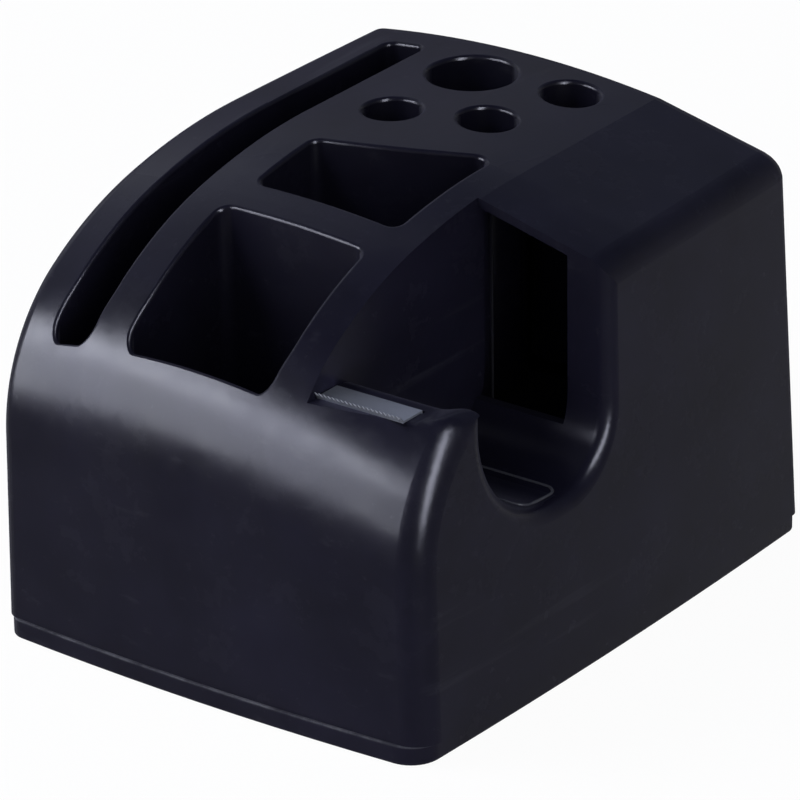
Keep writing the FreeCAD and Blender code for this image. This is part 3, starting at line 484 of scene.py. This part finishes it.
def on_lane_floor(x, run):
    """The point of the lane's floor at x and at a run behind the flat's rear end."""
    rear_centre = LANE_REAR - REAR_ARC
    flat = rear_centre - FRONT_ARC_CENTRE
    if -flat <= run <= 0:
        return Vector((x, rear_centre + run, LANE_FLOOR)) * MM
    if run > 0:
        centre, radius, turn = rear_centre, REAR_ARC, run / REAR_ARC
    else:
        centre, radius, turn = FRONT_ARC_CENTRE, FRONT_ARC, (run + flat) / FRONT_ARC
    along, up = centre + radius * math.sin(turn), LANE_FLOOR + radius * (1 - math.cos(turn))
    return Vector((x, along, up)) * MM


def rounded_rectangle(across, along, corner):
    """Points of a rectangle with round corners, from its ranges in two directions."""
    centres = [(across[1] - corner, along[1] - corner), (across[0] + corner, along[1] - corner),
               (across[0] + corner, along[0] + corner), (across[1] - corner, along[0] + corner)]
    points = []
    for quarter, (aside, ahead) in enumerate(centres):
        for step in range(CORNER_STEPS + 1):
            turn = math.radians(90) * (quarter + step / CORNER_STEPS)
            points.append((aside + corner * math.cos(turn), ahead + corner * math.sin(turn)))
    return points


def lane_panel():
    """The raised ridge round a bare panel on the tape lane's floor."""
    curve = bpy.data.curves.new("lane_panel_ridge", "CURVE")
    curve.dimensions = "3D"
    curve.bevel_depth = PANEL_RIDGE * MM
    curve.bevel_resolution = RIDGE_SMOOTHNESS
    points = rounded_rectangle(PANEL_X, PANEL_RUN, PANEL_CORNER)
    spline = curve.splines.new("POLY")
    spline.points.add(len(points) - 1)
    for point, (x, run) in zip(spline.points, points):
        point.co = (*on_lane_floor(x, run), 1)
    spline.use_cyclic_u = True
    path = bpy.data.objects.new("lane_panel_path", curve)
    mesh = bpy.data.meshes.new_from_object(path)
    mesh.shade_smooth()
    bpy.data.objects.remove(path)
    ridge = bpy.data.objects.new("lane_panel_ridge", mesh)
    SCENE.collection.objects.link(ridge)
    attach(ridge, "body")
    return ridge


# Studio


def bearing(azimuth, elevation):
    """The direction at an azimuth, from the front round to the right, and an elevation."""
    return Vector((math.sin(azimuth) * math.cos(elevation), -math.cos(azimuth) * math.cos(elevation),
                   math.sin(elevation)))


def camera():
    """The camera that the photograph's perspective was solved to."""
    back = bearing(AZIMUTH, ELEVATION)
    level = Vector((math.cos(AZIMUTH), math.sin(AZIMUTH), 0))
    up = back.cross(level)
    right = level * math.cos(ROLL) + up * math.sin(ROLL)
    top = up * math.cos(ROLL) - level * math.sin(ROLL)
    aside = (ORIGIN_PIXEL[0] - PICTURE / 2) * DISTANCE / FOCAL_PIXELS
    above = -(ORIGIN_PIXEL[1] - PICTURE / 2) * DISTANCE / FOCAL_PIXELS
    place = back * DISTANCE - right * aside - top * above
    data = bpy.data.cameras.new("camera")
    data.sensor_width = SENSOR
    data.lens = FOCAL_PIXELS / PICTURE * SENSOR
    data.clip_end = CLIP_END
    data.dof.use_dof = False
    obj = bpy.data.objects.new("camera", data)
    turn = Matrix((right, top, back)).transposed().to_4x4()
    obj.matrix_world = Matrix.Translation(place) @ turn
    SCENE.collection.objects.link(obj)
    SCENE.camera = obj


def area_light(name, towards, size, watts, colour):
    """An area light that faces the middle of the object; towards is its azimuth and elevation."""
    data = bpy.data.lights.new(name, "AREA")
    data.shape = "RECTANGLE"
    data.size, data.size_y = size
    data.energy = watts
    data.color = colour
    obj = bpy.data.objects.new(name, data)
    away = bearing(*map(math.radians, towards))
    obj.rotation_euler = away.to_track_quat("Z", "Y").to_euler()
    obj.location = MIDDLE + away * LIGHT_DISTANCE
    obj.visible_camera = False
    SCENE.collection.objects.link(obj)
    return obj


def lights():
    """The lights that light the surface, and those that only show as reflections."""
    for name, towards, size, watts, colour in SOFTBOXES:
        area_light(name, towards, size, watts, colour).visible_glossy = False
    for name, towards, degrees, brightness, colour in GLOSS_PANELS:
        size = [2 * LIGHT_DISTANCE * math.tan(math.radians(across) / 2) for across in degrees]
        watts = brightness * math.pi * size[0] * size[1]
        area_light(name, towards, size, watts, colour).visible_diffuse = False


def seen_directly(nodes, links):
    """1 where a camera, glossy or transmitted ray meets the surface."""
    path = nodes.new("ShaderNodeLightPath").outputs
    seen = calculated(nodes, links, "MAXIMUM", path["Is Camera Ray"], path["Is Glossy Ray"])
    return calculated(nodes, links, "MAXIMUM", seen, path["Is Transmission Ray"])


def sky():
    """The surroundings: a white sweep under a dim ceiling."""
    world = bpy.data.worlds.new("studio")
    SCENE.world = world
    world.use_nodes = True
    nodes, links = world.node_tree.nodes, world.node_tree.links
    background = nodes["Background"]
    place = nodes.new("ShaderNodeTexCoord")
    parts = nodes.new("ShaderNodeSeparateXYZ")
    links.new(place.outputs["Generated"], parts.inputs["Vector"])
    links.new(ramp(nodes, links, parts.outputs["Z"], SKY), background.inputs["Color"])
    strength = spread(nodes, links, seen_directly(nodes, links), SKY_LIGHT, 1)
    links.new(strength, background.inputs["Strength"])


def floor_paper():
    """White paper that mostly glows where it is seen."""
    mat, nodes, links, shader = material("floor_paper")
    shader.inputs["Base Color"].default_value = (*FLOOR_PAPER, 1)
    shader.inputs["Roughness"].default_value = 0.9
    glow = nodes.new("ShaderNodeEmission")
    mix = nodes.new("ShaderNodeMixShader")
    share = spread(nodes, links, seen_directly(nodes, links), 0, FLOOR_GLOW)
    links.new(share, mix.inputs["Fac"])
    links.new(shader.outputs["BSDF"], mix.inputs[1])
    links.new(glow.outputs["Emission"], mix.inputs[2])
    links.new(mix.outputs["Shader"], nodes["Material Output"].inputs["Surface"])
    return mat


def floor():
    """The plain floor that the object stands on."""
    mesh = bpy.data.meshes.new("floor")
    low, high = -FLOOR_REACH, FLOOR_REACH
    mesh.from_pydata([(low, low, 0), (high, low, 0), (high, high, 0), (low, high, 0)],
                     [], [(0, 1, 2, 3)])
    mesh.materials.append(floor_paper())
    obj = bpy.data.objects.new("floor", mesh)
    SCENE.collection.objects.link(obj)


dress_all(shell=housing_shell(), ridge=lane_panel())
camera()
sky()
floor()
lights()
SCENE.view_settings.view_transform = "Standard"
